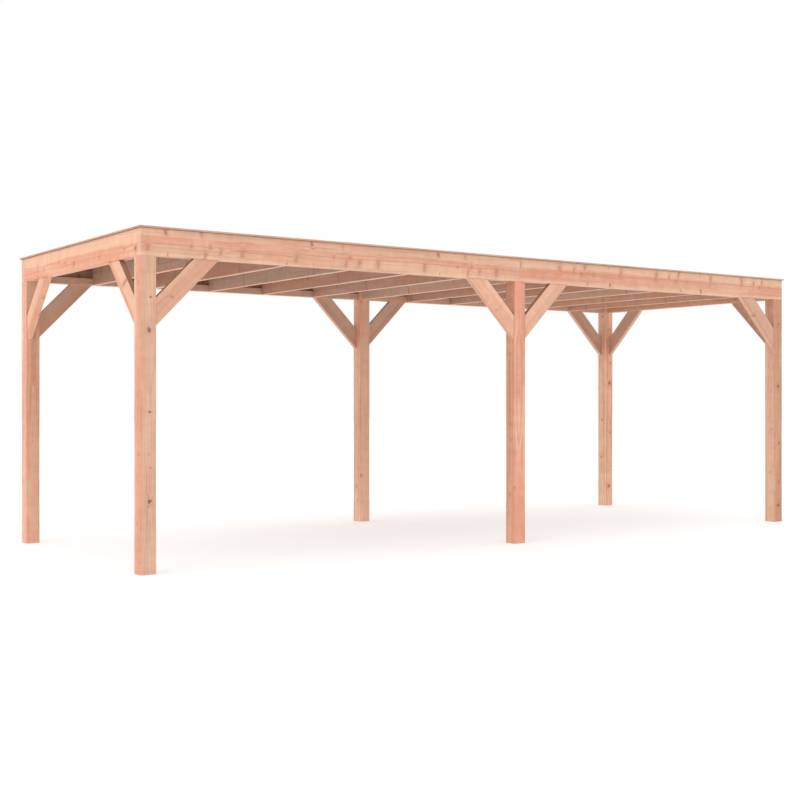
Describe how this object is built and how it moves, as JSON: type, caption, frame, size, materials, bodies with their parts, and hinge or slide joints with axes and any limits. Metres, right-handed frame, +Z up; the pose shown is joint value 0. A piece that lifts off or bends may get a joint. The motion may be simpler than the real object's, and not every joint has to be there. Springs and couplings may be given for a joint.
{
  "type": "garden canopy",
  "caption": "Open timber garden canopy: square posts with knee braces carry a ring of beams and a flat joisted roof with a thin top trim.",
  "frame": {"origin": "on the ground at the middle of the plan", "axes": "+X along the long side, +Y from the front to the back, +Z up"},
  "size_m": [7.178, 2.638, 2.529],
  "materials": {
    "post_wood": "matte",
    "beam_wood": "matte",
    "brace_wood": "matte",
    "joist_wood": "matte",
    "deck_wood": "matte",
    "trim_wood": "matte"
  },
  "bodies": {
    "root": {"post_front_left": "post_wood", "post_front_middle": "post_wood", "post_front_right": "post_wood", "post_back_left": "post_wood", "post_back_middle": "post_wood", "post_back_right": "post_wood", "beam_front_left": "beam_wood", "beam_front_right": "beam_wood", "beam_back_left": "beam_wood", "beam_back_right": "beam_wood", "beam_side_left": "beam_wood", "beam_side_right": "beam_wood", "ledger_front_left": "joist_wood", "ledger_front_right": "joist_wood", "ledger_back_left": "joist_wood", "ledger_back_right": "joist_wood", "joist_1": "joist_wood", "joist_2": "joist_wood", "joist_3": "joist_wood", "joist_4": "joist_wood", "joist_5": "joist_wood", "joist_6": "joist_wood", "joist_7": "joist_wood", "joist_8": "joist_wood", "joist_9": "joist_wood", "joist_10": "joist_wood", "joist_11": "joist_wood", "roof_deck": "deck_wood", "trim_front": "trim_wood", "trim_back": "trim_wood", "trim_left": "trim_wood", "trim_right": "trim_wood", "brace_front_left": "brace_wood", "brace_front_middle_left": "brace_wood", "brace_front_middle_right": "brace_wood", "brace_front_right": "brace_wood", "brace_back_left": "brace_wood", "brace_back_middle_left": "brace_wood", "brace_back_middle_right": "brace_wood", "brace_back_right": "brace_wood", "brace_side_left_front": "brace_wood", "brace_side_left_back": "brace_wood", "brace_side_right_front": "brace_wood", "brace_side_right_back": "brace_wood"}
  },
  "joints": []
}
